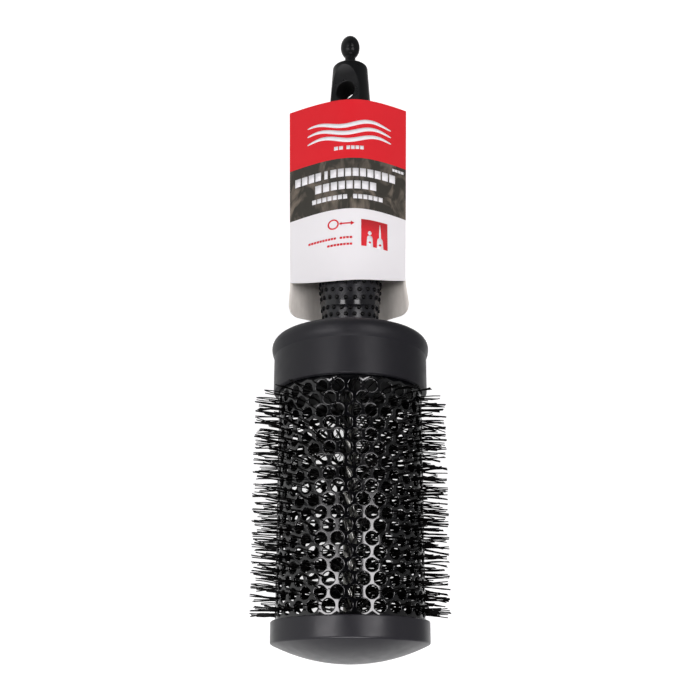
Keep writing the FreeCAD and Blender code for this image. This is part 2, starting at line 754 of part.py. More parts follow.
def write_files():
    os.makedirs("parts", exist_ok=True)
    for item in subparts:
        item.Shape.exportStep("parts/%s.step" % item.Label)
        box = item.Shape.BoundBox
        print("%-20s %3d solid(s) %10.1f mm3  x %7.2f..%7.2f  y %8.2f..%8.2f  z %7.2f..%7.2f" % (
            item.Label, len(item.Shape.Solids), item.Shape.Volume,
            box.XMin, box.XMax, box.YMin, box.YMax, box.ZMin, box.ZMax))


make_barrel()
make_core_wires()
make_bristle_rows()
make_ferrules()
make_end_cap()
make_collar()
make_handle()
make_pick()
make_card()
check_document()
write_files()
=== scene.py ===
"""The looks of a round thermal hair brush with a sectioning pick and a card sleeve.

The brush lies on its bristle tips, with the handle towards +Y and the face of the card up.
Places are given in millimetres as (x, along, up): x to the right, along from the tip of the dome
towards the knob, and up from the brush's own axis. Angles round the axis start at the side that
faces up and grow towards +X.
"""

import math
import random

import bpy
from mathutils import Euler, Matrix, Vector

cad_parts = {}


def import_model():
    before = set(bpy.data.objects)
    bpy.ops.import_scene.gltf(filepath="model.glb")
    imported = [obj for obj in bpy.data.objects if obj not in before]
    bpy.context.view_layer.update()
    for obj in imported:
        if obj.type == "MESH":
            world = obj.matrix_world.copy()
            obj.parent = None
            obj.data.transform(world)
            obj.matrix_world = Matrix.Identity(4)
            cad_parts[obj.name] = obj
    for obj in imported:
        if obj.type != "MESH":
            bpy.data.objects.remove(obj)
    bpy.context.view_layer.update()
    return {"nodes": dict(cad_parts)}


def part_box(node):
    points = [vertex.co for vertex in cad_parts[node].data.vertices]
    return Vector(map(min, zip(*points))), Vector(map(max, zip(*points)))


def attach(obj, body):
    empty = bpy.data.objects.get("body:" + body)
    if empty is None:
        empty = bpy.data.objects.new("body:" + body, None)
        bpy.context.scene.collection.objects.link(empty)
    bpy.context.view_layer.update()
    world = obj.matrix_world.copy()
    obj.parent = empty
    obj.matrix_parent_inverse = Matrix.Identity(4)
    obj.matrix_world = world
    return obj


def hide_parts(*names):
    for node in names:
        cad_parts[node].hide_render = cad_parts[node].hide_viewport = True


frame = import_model()

MM = 0.001
AXIS_HEIGHT = sum(corner.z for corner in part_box("barrel")) / 2
TIP_OF_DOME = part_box("end_cap")[0].y


def world(x, along, up):
    """The frame's metres for a place given in brush millimetres."""
    return Vector((x * MM, TIP_OF_DOME + along * MM, AXIS_HEIGHT + up * MM))


def round_axis(radius, angle, along):
    """Brush millimetres of a point at an angle (radians) round the axis."""
    return (radius * math.sin(angle), along, radius * math.cos(angle))


def turns(count):
    """Evenly spaced angles, once round."""
    return [k * 2 * math.pi / count for k in range(count)]


# ---------------------------------------------------------------- meshes

class Mesh:
    """Collects points in brush millimetres and faces, and makes one object of them."""

    def __init__(self):
        self.points = []
        self.faces = []
        self.finishes = []

    def point(self, place):
        self.points.append(place)
        return len(self.points) - 1

    def loop(self, places):
        return [self.point(place) for place in places]

    def face(self, corners, finish=0):
        self.faces.append(tuple(corners))
        self.finishes.append(finish)

    def bridge(self, first, second, finish=0, closed=True):
        """Quads from one row of points to the next."""
        count = len(first) if closed else len(first) - 1
        for i in range(count):
            j = (i + 1) % len(first)
            self.face((first[i], first[j], second[j], second[i]), finish)

    def rod(self, loops, finish=0):
        """A solid through a row of loops, with a face at both ends."""
        for first, second in zip(loops, loops[1:]):
            self.bridge(second, first, finish)
        self.face(loops[0], finish)
        self.face(reversed(loops[-1]), finish)

    def make(self, name, body, slot, finishes, stands_for=()):
        data = bpy.data.meshes.new(name)
        data.from_pydata([world(*p) for p in self.points], [], self.faces)
        for finish in finishes:
            data.materials.append(finish)
        data.polygons.foreach_set("material_index", self.finishes)
        data.polygons.foreach_set("use_smooth", [True] * len(self.faces))
        data.validate()
        data.update()
        piece = bpy.data.objects.new(name, data)
        bpy.context.scene.collection.objects.link(piece)
        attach(piece, body)
        if stands_for:
            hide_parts(*stands_for)
        return piece


# ---------------------------------------------------------------- materials

# Noise mostly lies between these values.
NOISE_LOW = 0.3
NOISE_HIGH = 0.7
# Features per metre of a moulded part's slow colour drift and of its patches of gloss.
DRIFT_SCALE = 90
GLOSS_SCALE = 260
# The marks in drawn metal: features per metre, their darkest tone, added roughness and depth.
MARK_SCALE = 900
MARK_TONE = 0.62
MARK_ROUGHNESS = 0.2
MARK_DEPTH = 0.02
# Painted shade for a bore's wall, and the width over which it turns into the skin round it.
BORE_PAINTED_SHADE = (0.0003, 0.0003, 0.0003)
BORE_EDGE = 0.4
# The printed band of hair: the darkest and lightest locks, and fine lines over them.
LOCK_DARK = (0.042, 0.039, 0.032)
LOCK_LIGHT = (0.230, 0.190, 0.150)
HAIR_LINE = (0.034, 0.031, 0.026)
HAIR_LINE_STRENGTH = 0.45
PRINT_WHITE = ((0.770, 0.757, 0.768), (0.795, 0.782, 0.793))
PRINT_RED = ((0.64, 0.012, 0.019), (0.69, 0.015, 0.024))


class Tree:
    """A node tree with short ways to add and link nodes."""

    def __init__(self, tree):
        self.tree = tree

    def add(self, kind, **settings):
        node = self.tree.nodes.new(kind)
        for key, value in settings.items():
            setattr(node, key, value)
        return node

    def feed(self, socket, value):
        """Gives a socket the output of a node, or a plain value."""
        if isinstance(value, bpy.types.NodeSocket):
            self.tree.links.new(value, socket)
        else:
            socket.default_value = value

    def maths(self, operation, *values):
        node = self.add("ShaderNodeMath", operation=operation)
        for socket, value in zip(node.inputs, values):
            self.feed(socket, value)
        return node.outputs[0]

    def vector_maths(self, operation, first, second=(0, 0, 0)):
        node = self.add("ShaderNodeVectorMath", operation=operation)
        self.feed(node.inputs[0], first)
        self.feed(node.inputs[1], second)
        return node.outputs["Value" if operation == "LENGTH" else "Vector"]

    def axes(self, vector):
        """The outputs X, Y and Z of a vector."""
        node = self.add("ShaderNodeSeparateXYZ")
        self.feed(node.inputs[0], vector)
        return node.outputs

    def spread(self, value, low, high, from_low=NOISE_LOW, from_high=NOISE_HIGH, **settings):
        """Maps a value onto the range from low to high."""
        node = self.add("ShaderNodeMapRange", **settings)
        for name, amount in (("Value", value), ("From Min", from_low), ("From Max", from_high),
                             ("To Min", low), ("To Max", high)):
            self.feed(node.inputs[name], amount)
        return node.outputs["Result"]

    def mix(self, value, first, second):
        """A colour between two, each a colour or the output of a node."""
        node = self.add("ShaderNodeMix", data_type="RGBA")
        self.feed(node.inputs[0], value)
        for socket, colour in ((node.inputs[6], first), (node.inputs[7], second)):
            self.feed(socket, (*colour, 1.0) if isinstance(colour, tuple) else colour)
        return node.outputs[2]


class Material(Tree):
    """A new material's node tree."""

    def __init__(self, name):
        self.material = bpy.data.materials.new(name)
        self.material.use_nodes = True
        super().__init__(self.material.node_tree)
        self.shader = self.tree.nodes["Principled BSDF"]
        self.place = self.add("ShaderNodeTexCoord").outputs["Object"]

    def noise(self, scale, detail, stretch=None, distortion=0.0):
        """A noise value from 0 to 1. Scale is in features per metre."""
        node = self.add("ShaderNodeTexNoise")
        source = self.place
        if stretch:
            mapping = self.add("ShaderNodeMapping")
            self.feed(mapping.inputs["Scale"], stretch)
            self.feed(mapping.inputs["Vector"], self.place)
            source = mapping.outputs["Vector"]
        for name, value in (("Scale", scale), ("Detail", detail), ("Distortion", distortion),
                            ("Vector", source)):
            self.feed(node.inputs[name], value)
        return node.outputs["Fac"]

    def along(self, skew):
        """The place along the brush, for a print whose lines climb by skew towards +X."""
        axes = self.axes(self.place)
        return self.maths("MULTIPLY_ADD", axes["X"], -skew, axes["Y"])

    def clear_of(self, middle, lean, radius):
        """0 inside a bore and 1 outside it.

        middle is the bore's place in metres, lean the angle of its axis from up towards -X,
        and radius is in millimetres."""
        axis = (-math.sin(lean), 0, math.cos(lean))
        offset = self.vector_maths("SUBTRACT", self.place, middle)
        reach = self.vector_maths("LENGTH", self.vector_maths("CROSS_PRODUCT", offset, axis))
        return self.spread(reach, 0.0, 1.0, radius * MM, (radius + BORE_EDGE) * MM)

    def bump(self, height, depth):
        """Relief whose depth is in millimetres."""
        node = self.add("ShaderNodeBump")
        for name, value in (("Strength", 1.0), ("Distance", depth * MM), ("Height", height)):
            self.feed(node.inputs[name], value)
        self.feed(self.shader.inputs["Normal"], node.outputs["Normal"])

    def set(self, **sockets):
        for name, value in sockets.items():
            self.feed(self.shader.inputs[name.replace("_", " ")], value)


def moulded(name, dark, light, roughness, grain, specular, bore=None):
    """Moulded or coated plastic: slow colour drift, uneven gloss and a fine grain.

    grain is its features per metre and its depth. The wall of a bore, given as for clear_of,
    is painted shade: dead black and fully rough."""
    nodes = Material(name)
    colour = nodes.mix(nodes.noise(DRIFT_SCALE, 3), dark, light)
    gloss = nodes.spread(nodes.noise(GLOSS_SCALE, 4), *roughness)
    # Painted shade: the bore's wall is made black and fully rough, fading into the skin over
    # BORE_EDGE.
    if bore:
        clear = nodes.clear_of(*bore)
        colour = nodes.mix(clear, BORE_PAINTED_SHADE, colour)
        gloss = nodes.maths("MAXIMUM", gloss, nodes.spread(clear, 1.0, 0.0, 0.0, 1.0))
    scale, depth = grain
    nodes.bump(nodes.noise(scale, 2), depth)
    nodes.set(Base_Color=colour, Roughness=gloss, Specular_IOR_Level=specular)
    return nodes.material


def metal(name, colour, roughness, drawn):
    """Drawn or rolled metal with fine marks along one direction."""
    nodes = Material(name)
    marks = nodes.noise(MARK_SCALE, 3, stretch=drawn)
    nodes.bump(marks, MARK_DEPTH)
    nodes.set(Base_Color=nodes.mix(marks, tuple(c * MARK_TONE for c in colour), colour),
              Roughness=nodes.spread(marks, roughness, roughness + MARK_ROUGHNESS),
              Metallic=1.0)
    return nodes.material


def printed_board(name, white_top, dark_top, skew):
    """Coated board printed in bands: white, a dark band with a blurred hair grain, and red.

    The white and the dark end at these places of the frame's Y, on the brush's axis."""
    nodes = Material(name)
    locks = nodes.noise(150, 2.5, stretch=(1.0, 0.55, 1.0), distortion=1.4)
    lines = nodes.noise(520, 4, stretch=(1.0, 0.22, 1.0), distortion=1.0)
    hair = nodes.mix(nodes.spread(locks, 0.0, 1.0, 0.48, 0.74), LOCK_DARK, LOCK_LIGHT)
    hair = nodes.mix(nodes.spread(lines, 0.0, HAIR_LINE_STRENGTH), hair, HAIR_LINE)
    white = nodes.mix(nodes.noise(40, 2), *PRINT_WHITE)
    red = nodes.mix(nodes.noise(50, 2), *PRINT_RED)
    along = nodes.along(skew)
    colour = nodes.mix(nodes.maths("GREATER_THAN", along, white_top), white, hair)
    colour = nodes.mix(nodes.maths("GREATER_THAN", along, dark_top), colour, red)
    nodes.bump(nodes.noise(1800, 2), 0.006)
    nodes.set(Base_Color=colour, Roughness=nodes.spread(nodes.noise(300, 3), 0.46, 0.58),
              Specular_IOR_Level=0.2)
    return nodes.material


def plain_board(name, dark, light):
    """Uncoated board, or ink on board, with pressed fibres."""
    nodes = Material(name)
    fibres = nodes.noise(700, 6, stretch=(1.0, 0.35, 1.0))
    nodes.bump(nodes.noise(2600, 3), 0.02)
    nodes.set(Base_Color=nodes.mix(nodes.spread(fibres, 0.0, 1.0), dark, light),
              Roughness=nodes.spread(fibres, 0.78, 0.92))
    return nodes.material


CERAMIC = moulded(
    "ceramic_black", dark=(0.0004, 0.0004, 0.0009), light=(0.0010, 0.0010, 0.0018),
    roughness=(0.07, 0.13), grain=(900, 0.004), specular=1.0)
TUBE_INSIDE = moulded(
    "tube_inside", dark=(0.0006, 0.0006, 0.0007), light=(0.0014, 0.0014, 0.0016),
    roughness=(0.60, 0.72), grain=(1500, 0.01), specular=0.06)
NYLON = moulded(
    "bristle_nylon", dark=(0.0006, 0.0005, 0.0005), light=(0.0016, 0.0014, 0.0014),
    roughness=(0.30, 0.45), grain=(2500, 0.01), specular=0.08)
STEEL = metal("core_steel", colour=(0.60, 0.60, 0.56), roughness=0.20, drawn=(1.0, 0.08, 1.0))
FERRULE = metal("ferrule_metal", colour=(0.55, 0.54, 0.52), roughness=0.30, drawn=(1.0, 1.0, 0.1))
SOFT_TOUCH = moulded(
    "soft_touch", dark=(0.0062, 0.0059, 0.0088), light=(0.0086, 0.0082, 0.0112),
    roughness=(0.40, 0.48), grain=(3200, 0.006), specular=0.40)
# The end cap's copy of the soft-touch plastic is about twice as light as the collar's. This is
# painted light, because the cap stands nearer the lamps. It is also a little glossier.
SOFT_TOUCH_PAINTED_LIGHT = moulded(
    "soft_touch_painted_light", dark=(0.0130, 0.0124, 0.0160), light=(0.0160, 0.0154, 0.0190),
    roughness=(0.30, 0.38), grain=(3200, 0.006), specular=0.45)
INNER_PLASTIC = moulded(
    "inner_plastic", dark=(0.003, 0.003, 0.003), light=(0.005, 0.005, 0.005),
    roughness=(0.42, 0.55), grain=(1500, 0.01), specular=0.05)
HANDLE_PLASTIC = moulded(
    "handle_plastic", dark=(0.014, 0.015, 0.017), light=(0.019, 0.020, 0.022),
    roughness=(0.34, 0.44), grain=(2200, 0.006), specular=0.5)
GRIP_RUBBER = moulded(
    "grip_rubber", dark=(0.011, 0.011, 0.014), light=(0.016, 0.016, 0.019),
    roughness=(0.24, 0.32), grain=(2400, 0.008), specular=0.5)
GRIP_DOT = moulded(
    "grip_dot", dark=(0.0008, 0.0008, 0.0010), light=(0.0018, 0.0018, 0.0022),
    roughness=(0.24, 0.34), grain=(2400, 0.008), specular=0.2)
GRIP_BAND = moulded(
    "grip_band", dark=(0.010, 0.010, 0.012), light=(0.014, 0.014, 0.016),
    roughness=(0.12, 0.18), grain=(2400, 0.004), specular=0.6)

# ---------------------------------------------------------------- perforated tube

ROWS = 18
HOLES_PER_ROW = 28
HOLE_STEP = 2 * math.pi / HOLES_PER_ROW
TUBE_RADIUS = 27.0
TUBE_BORE = 26.2
HOLE_RADIUS = 2.2
FIRST_ROW = 17.7
ROW_PITCH = 4.56
# Each side of a cell is cut into so many parts, which fall on this fine division of a step.
SIDE_PARTS = 4
STEP_PARTS = 4 * SIDE_PARTS
# From the flat outside over the rounded rim and down the wall: (beyond the hole, depth).
RIM = [(0.48, 0.0), (0.38, 0.0), (0.22, 0.03), (0.09, 0.13), (0.02, 0.28), (0.0, 0.45),
       (0.04, 0.68), (0.14, 0.8)]
COATED, BARE = 0, 1


def hole_place(row, number):
    """(angle, along) of a hole. Neighbouring rows are staggered by half a step."""
    stagger = HOLE_STEP / 4 if row % 2 else -HOLE_STEP / 4
    return stagger + number * HOLE_STEP, FIRST_ROW + row * ROW_PITCH


def cell_outline():
    """The six-sided cell round a hole as offsets (angle in steps, along), counterclockwise."""
    half_width = HOLE_STEP / 2 * TUBE_RADIUS
    near = (ROW_PITCH ** 2 - half_width ** 2) / (2 * ROW_PITCH)
    far = ROW_PITCH - near
    corners = [(0.5, near), (0, far), (-0.5, near), (-0.5, -near), (0, -far), (0.5, -near)]
    outline = []
    for start, end in zip(corners, corners[1:] + corners[:1]):
        for part in range(SIDE_PARTS):
            share = part / SIDE_PARTS
            outline.append((start[0] + (end[0] - start[0]) * share,
                            start[1] + (end[1] - start[1]) * share))
    return outline


class Barrel(Mesh):
    """The tube as a net of cells, each with a hole whose rim is rounded."""

    def __init__(self):
        super().__init__()
        self.outline = cell_outline()
        self.shared = {}

    def border(self, radius, angle, along):
        """A point that neighbouring cells share."""
        turn = round(angle / HOLE_STEP * STEP_PARTS) % (HOLES_PER_ROW * STEP_PARTS)
        key = (radius, turn, round(along, 4))
        if key not in self.shared:
            self.shared[key] = self.point(round_axis(radius, angle, along))
        return self.shared[key]

    def borders(self, radius, angle, along):
        """The points of the cell round a hole, on the outside or in the bore."""
        return [self.border(radius, angle + a * HOLE_STEP, along + b) for a, b in self.outline]

    def cell(self, angle, along):
        loops = [self.borders(TUBE_RADIUS, angle, along)]
        directions = [math.atan2(b, a * HOLE_STEP * TUBE_RADIUS) for a, b in self.outline]
        for beyond, depth in RIM:
            reach = HOLE_RADIUS + beyond
            radius = TUBE_RADIUS - depth
            loops.append(self.loop(
                round_axis(radius, angle + math.asin(reach * math.cos(t) / radius),
                           along + reach * math.sin(t)) for t in directions))
        for first, second in zip(loops, loops[1:]):
            self.bridge(first, second, COATED)
        self.bridge(loops[-1], self.borders(TUBE_BORE, angle, along), BARE)

    def end_band(self, radius, angle, along, end, side, outward):
        """Quads from an end row's cell to the end of the tube, whose points it returns.

        side is -1 at the lower end and 1 at the upper end."""
        near = self.outline[0][1]
        chain = sorted(o for o in self.outline if o[1] * side >= near - 1e-9)
        cells = [self.border(radius, angle + a * HOLE_STEP, along + b) for a, b in chain]
        rim = [self.border(radius, angle + a * HOLE_STEP, end) for a, _ in chain]
        if (side < 0) == outward:
            self.bridge(rim, cells, closed=False)
        else:
            self.bridge(cells, rim, closed=False)
        return rim

    def end_cell(self, angle, along, end, side):
        """The plain tube beyond an end row's hole, outside and inside, and its end face."""
        outer = self.end_band(TUBE_RADIUS, angle, along, end, side, outward=True)
        inner = self.end_band(TUBE_BORE, angle, along, end, side, outward=False)
        if side < 0:
            self.bridge(inner, outer, closed=False)
        else:
            self.bridge(outer, inner, closed=False)


def make_barrel():
    mesh = Barrel()
    low, high = [(corner.y - TIP_OF_DOME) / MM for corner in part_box("barrel")]
    for row in range(ROWS):
        for number in range(HOLES_PER_ROW):
            angle, along = hole_place(row, number)
            mesh.cell(angle, along)
            if row == 0:
                mesh.end_cell(angle, along, low, -1)
            elif row == ROWS - 1:
                mesh.end_cell(angle, along, high, 1)
    mesh.make("perforated_tube", "brush", "ceramic_black", [CERAMIC, TUBE_INSIDE], ["barrel"])


# ---------------------------------------------------------------- bristles

TIP_RADIUS = 36.2
# The twisted core: its radius, the length of one turn, and a place where bristles leave it
# upwards.
CORE_RADIUS = 1.4
CORE_TURN = 22.0
CORE_START = 8.0
BRISTLE_RADIUS = 0.24
BRISTLE_SIDES = 5
# A filament's points, as shares of the way from the core to the hole and from there to the tip,
# and its radius at each of its points.
SHARES_INSIDE = (0.35, 0.7)
SHARES_OUTSIDE = (0.3, 0.65)
TAPER = (1, 1, 1, 1, 0.97, 0.92, 0.8)
FILAMENT_COUNTS = (2, 3, 3)
# Tufts lean along the brush, by up to LEAN towards the dome at the +X side and towards the knob
# at the other. The other leans are random, and stray filaments have more of it.
LEAN = math.radians(4.0)
TUFT_LEAN = math.radians(3.0)
FILAMENT_LEAN = math.radians(2.2)
MOST_LEAN = math.radians(11.0)
STRAY_SHARE = 0.08
STRAY_LEAN = 2.0
# How far tufts and filaments are off the hole's middle, fall short of the tips' radius and bend.
TUFT_DRIFT = 0.5
TUFT_SPREAD = 0.45
TIP_SPREAD = 0.3
CURL = 0.2
# A filament is longer the more it slants, down to this cosine.
LEAST_COSINE = 0.8


def core_exit(angle, along):
    """The place nearest to along where the twisted core lets bristles out at an angle."""
    turned = -(along - CORE_START) / CORE_TURN * 2 * math.pi
    off = (angle - turned) % math.pi
    if off > math.pi / 2:
        off -= math.pi
    return along - off / math.pi * CORE_TURN / 2


def add_tube(mesh, path, radii, sides):
    """A closed round tube along a path of brush-millimetre vectors."""
    rings = []
    for i, place in enumerate(path):
        ahead = (path[min(i + 1, len(path) - 1)] - path[max(i - 1, 0)]).normalized()
        across = ahead.cross(Vector((0, 1, 0))).normalized()
        other = across.cross(ahead)
        rings.append(mesh.loop(
            tuple(place + (across * math.cos(t) + other * math.sin(t)) * radii[i])
            for t in turns(sides)))
    mesh.rod(rings)


def bristle_path(dice, angle, along, lean, sway):
    """From the core through the hole, and on to the tip."""
    aside = dice.uniform(-TUFT_SPREAD, TUFT_SPREAD) / TUBE_RADIUS
    hole = Vector(round_axis(TUBE_RADIUS, angle + aside,
                             along + dice.uniform(-TUFT_SPREAD, TUFT_SPREAD)))
    start = Vector(round_axis(CORE_RADIUS, angle, core_exit(angle, along)))
    outward = Vector(round_axis(1, angle, 0))
    sideways = Vector(round_axis(1, angle + math.pi / 2, 0))
    lengthways = Vector((0, 1, 0))
    reach = TIP_RADIUS - TUBE_RADIUS - abs(dice.gauss(0, TIP_SPREAD))
    aim = (outward + lengthways * math.tan(lean) + sideways * math.tan(sway)).normalized()
    tip = hole + aim * reach / max(aim.dot(outward), LEAST_COSINE)
    curl = lengthways * dice.gauss(0, CURL) + sideways * dice.gauss(0, CURL)
    inside = [start.lerp(hole, share) for share in SHARES_INSIDE]
    outside = [hole.lerp(tip, share) + curl * math.sin(share * math.pi)
               for share in SHARES_OUTSIDE]
    return [start, *inside, hole, *outside, tip]


def make_bristles():
    """Two or three filaments through every hole, leaning in tufts."""
    dice = random.Random(18)
    mesh = Mesh()
    radii = [BRISTLE_RADIUS * share for share in TAPER]
    for row in range(ROWS):
        for number in range(HOLES_PER_ROW):
            angle, along = hole_place(row, number)
            aside = dice.uniform(-TUFT_DRIFT, TUFT_DRIFT)
            ahead = dice.uniform(-TUFT_DRIFT, TUFT_DRIFT)
            tuft_lean = -LEAN * math.sin(angle) + dice.gauss(0, TUFT_LEAN)
            tuft_sway = dice.gauss(0, TUFT_LEAN)
            for _ in range(dice.choice(FILAMENT_COUNTS)):
                stray = STRAY_LEAN if dice.random() < STRAY_SHARE else 1.0
                lean = tuft_lean + dice.gauss(0, FILAMENT_LEAN) * stray
                sway = tuft_sway + dice.gauss(0, FILAMENT_LEAN) * stray
                path = bristle_path(dice, angle + aside / TUBE_RADIUS, along + ahead,
                                    min(lean, MOST_LEAN), sway)
                add_tube(mesh, path, radii, BRISTLE_SIDES)
    mesh.make("nylon_bristles", "brush", "bristle_nylon", [NYLON], ["bristle_rows"])


# ---------------------------------------------------------------- grip

GRIP_LOW = 125.0
GRIP_BELLY = 152.0
GRIP_HIGH = 203.0
GRIP_ROOT_RADIUS = 9.8
GRIP_BELLY_RADIUS = 11.95
GRIP_END_RADIUS = 9.75
GRIP_SKIN = 1.5
GRIP_EDGE = 0.3
GRIP_STEPS = 52
GRIP_AROUND = 96
# The raised bands. At BAND_HALF_WIDTH from its middle a band has still BAND_EDGE_SHARE of its
# rise, with BAND_EDGE from there to its foot and to its flat top, where a support loop is near.
BANDS = [132.6, 158.0, 180.0, 199.5]
BAND_RISE = 0.3
BAND_HALF_WIDTH = 1.15
BAND_EDGE = 0.22
BAND_EDGE_SHARE = 0.6
BAND_SUPPORT = 0.1
DOT_ROW_PITCH = 3.05
DOT_ROW_MARGIN = 0.85
DOTS_PER_ROW = 20
DOT_RADIUS = 0.88
DOT_AROUND = 12
# From a dot's foot under the skin to its top: (share of the radius, rise).
DOT_PROFILE = [(1.0, -0.12), (0.97, 0.2), (0.84, 0.44), (0.5, 0.59)]
# How far the pattern stands higher at the sides, and how near to an end that fades.
PATTERN_WAVE = 2.4
WAVE_FADE = 6.0
SKIN, BAND, DOT = 0, 1, 2


def sag(half_length, rise, off):
    """How far an arc that falls by rise over half_length has fallen at off."""
    radius = (half_length ** 2 + rise ** 2) / (2 * rise)
    return radius - math.sqrt(radius ** 2 - off ** 2)


def grip_radius(along):
    end, end_radius = ((GRIP_LOW, GRIP_ROOT_RADIUS) if along < GRIP_BELLY
                       else (GRIP_HIGH, GRIP_END_RADIUS))
    return GRIP_BELLY_RADIUS - sag(abs(GRIP_BELLY - end), GRIP_BELLY_RADIUS - end_radius,
                                   abs(GRIP_BELLY - along))


def waved(angle, along):
    """Bands and rows of dots stand higher along the grip at its two sides."""
    room = min(along - GRIP_LOW, GRIP_HIGH - along, WAVE_FADE) / WAVE_FADE
    return along + PATTERN_WAVE * math.sin(angle) ** 2 * max(room, 0.0)


def band_profile(band):
    """The outline over a raised band, as (rise, along): a short cylinder with rounded edges."""
    foot = BAND_HALF_WIDTH + BAND_EDGE
    flat = BAND_HALF_WIDTH - BAND_EDGE
    half = [(flat - BAND_SUPPORT, BAND_RISE), (flat, BAND_RISE),
            (BAND_HALF_WIDTH, BAND_RISE * BAND_EDGE_SHARE)]
    outline = [(0, band - foot), (0, band + foot)]
    for off, rise in half + [(-off, rise) for off, rise in half]:
        outline.append((rise + grip_radius(band) - grip_radius(band + off), band + off))
    return outline


def grip_profile():
    """The closed outline of the sleeve, as (rise, along): the outside upwards, then the bore."""
    low, high = GRIP_LOW + 2 * GRIP_EDGE, GRIP_HIGH - 2 * GRIP_EDGE
    outline = [(0, low + (high - low) * i / GRIP_STEPS) for i in range(GRIP_STEPS + 1)]
    for band in BANDS:
        outline = [corner for corner in outline
                   if abs(corner[1] - band) > BAND_HALF_WIDTH + BAND_EDGE]
        outline += band_profile(band)
    outline.sort(key=lambda corner: corner[1])
    outside = [(-GRIP_EDGE, GRIP_LOW), (0, GRIP_LOW + GRIP_EDGE), *outline,
               (0, GRIP_HIGH - GRIP_EDGE), (-GRIP_EDGE, GRIP_HIGH)]
    return outside + [(-GRIP_SKIN, along) for _, along in reversed(outside)]


def add_sleeve(mesh, outline):
    """Turns the sleeve's outline about the axis."""
    rings = []
    for rise, along in outline:
        places = [(turn, waved(turn, along)) for turn in turns(GRIP_AROUND)]
        rings.append((rise, mesh.loop(round_axis(grip_radius(place) + rise, turn, place)
                                      for turn, place in places)))
    for (rise, first), (next_rise, second) in zip(rings, rings[1:] + rings[:1]):
        mesh.bridge(first, second, BAND if max(rise, next_rise) > 0 else SKIN)


def add_dot(mesh, angle, along):
    """A raised round dot on the grip."""
    foot = grip_radius(along)
    rings = [mesh.loop(round_axis(foot + rise,
                                  angle + DOT_RADIUS * share * math.cos(t) / foot,
                                  along + DOT_RADIUS * share * math.sin(t))
                       for t in turns(DOT_AROUND)) for share, rise in DOT_PROFILE]
    mesh.rod(rings[::-1], DOT)


def dot_rows():
    """Places of the rows of dots: evenly spaced between a band, or an end, and the next."""
    stops = [GRIP_LOW - BAND_HALF_WIDTH, *BANDS, GRIP_HIGH + BAND_HALF_WIDTH]
    margin = BAND_HALF_WIDTH + DOT_ROW_MARGIN
    rows = []
    for stop, next_stop in zip(stops, stops[1:]):
        low, high = stop + margin, next_stop - margin
        count = max(1, round((high - low) / DOT_ROW_PITCH))
        rows += [low + (high - low) * i / count for i in range(count + 1)]
    return rows


def make_grip():
    """The rubber sleeve: rows of raised dots between plain raised bands."""
    mesh = Mesh()
    add_sleeve(mesh, grip_profile())
    for row, along in enumerate(dot_rows()):
        for number in range(DOTS_PER_ROW):
            turn = (number + (row % 2) / 2) / DOTS_PER_ROW * 2 * math.pi
            add_dot(mesh, turn, waved(turn, along))
    mesh.make("dotted_grip", "brush", "grip_rubber", [GRIP_RUBBER, GRIP_BAND, GRIP_DOT],
              ["grip_sleeve"])


# ---------------------------------------------------------------- card sleeve

CARD_HIGH = 219.6
CARD_FRONT_LOW = 145.0
CARD_BACK_LOW = 131.6
CARD_THICKNESS = 0.4
# The sleeve's middle from the axis, and how far it swings aside at the back panel's lower end.
CARD_MIDDLE = -0.95
CARD_SWING = 0.55
# How much the card's lines climb towards +X.
CARD_SKEW = 0.022
# Half its width at the top, at the front panel's lower edge and at the back panel's.
CARD_HALF_HIGH = 23.9
CARD_HALF_WAIST = 22.6
CARD_HALF_LOW = 23.8
# The bow's height at both ends, its crest from the sleeve's middle, and the crest's roundness.
CARD_BOW_LOW = 14.0
CARD_BOW_HIGH = 10.6
CARD_CREST = 1.6
CREST_ROUNDNESS = 0.68
# The dip of the front panel's lower edge, and the back panel's lower corners.
CARD_FRONT_DIP = 4.4
CARD_CORNER = 3.8
# How far an inner layer stays from the creases, as a multiple of its depth.
CREASE_INSET = 0.9
CREASE_ANGLE = math.radians(40)
PANEL_ROWS = 40
PANEL_COLUMNS = 72
FLAP_WIDTH = 8.0
FLAP_LOW = 148.0
FLAP_HIGH = 217.6
FLAP_GAP = 0.02
FLAP_COLUMNS = 12
PRINT_WHITE_TOP = 170.8
PRINT_DARK_TOP = 193.0


def card_half_width(along):
    """Half the sleeve's width: narrower downwards, and flared below the front panel."""
    end, half_end = ((CARD_HIGH, CARD_HALF_HIGH) if along > CARD_FRONT_LOW
                     else (CARD_BACK_LOW, CARD_HALF_LOW))
    share = (along - CARD_FRONT_LOW) / (end - CARD_FRONT_LOW)
    return CARD_HALF_WAIST + share * (half_end - CARD_HALF_WAIST)


def card_bow(along):
    share = (CARD_HIGH - along) / (CARD_HIGH - CARD_BACK_LOW)
    return CARD_BOW_HIGH + share * (CARD_BOW_LOW - CARD_BOW_HIGH)


def card_rise(x, along):
    """(height, slope) of a panel over the creases: flat flanks that meet in a round crest."""
    bow = card_bow(along)
    off = x - CARD_CREST
    reach = card_half_width(along) + (-CARD_CREST if off > 0 else CARD_CREST)
    share = off / reach
    whole = math.hypot(1, CREST_ROUNDNESS) - CREST_ROUNDNESS
    slant = math.hypot(share, CREST_ROUNDNESS)
    return (bow * (1 - (slant - CREST_ROUNDNESS) / whole),
            -bow * share / slant / whole / reach)


def card_place(x, along, lift=0.0, side=1):
    """A point on the bowed card. x is from the card's own middle, side is 1 at the front."""
    up, slope = card_rise(x, along)
    lean = math.atan(-slope)
    swing = CARD_SWING * max(CARD_FRONT_LOW - along, 0) / (CARD_FRONT_LOW - CARD_BACK_LOW)
    return (CARD_MIDDLE + swing + x + lift * math.sin(lean), along + CARD_SKEW * x,
            side * (up + lift * math.cos(lean)))


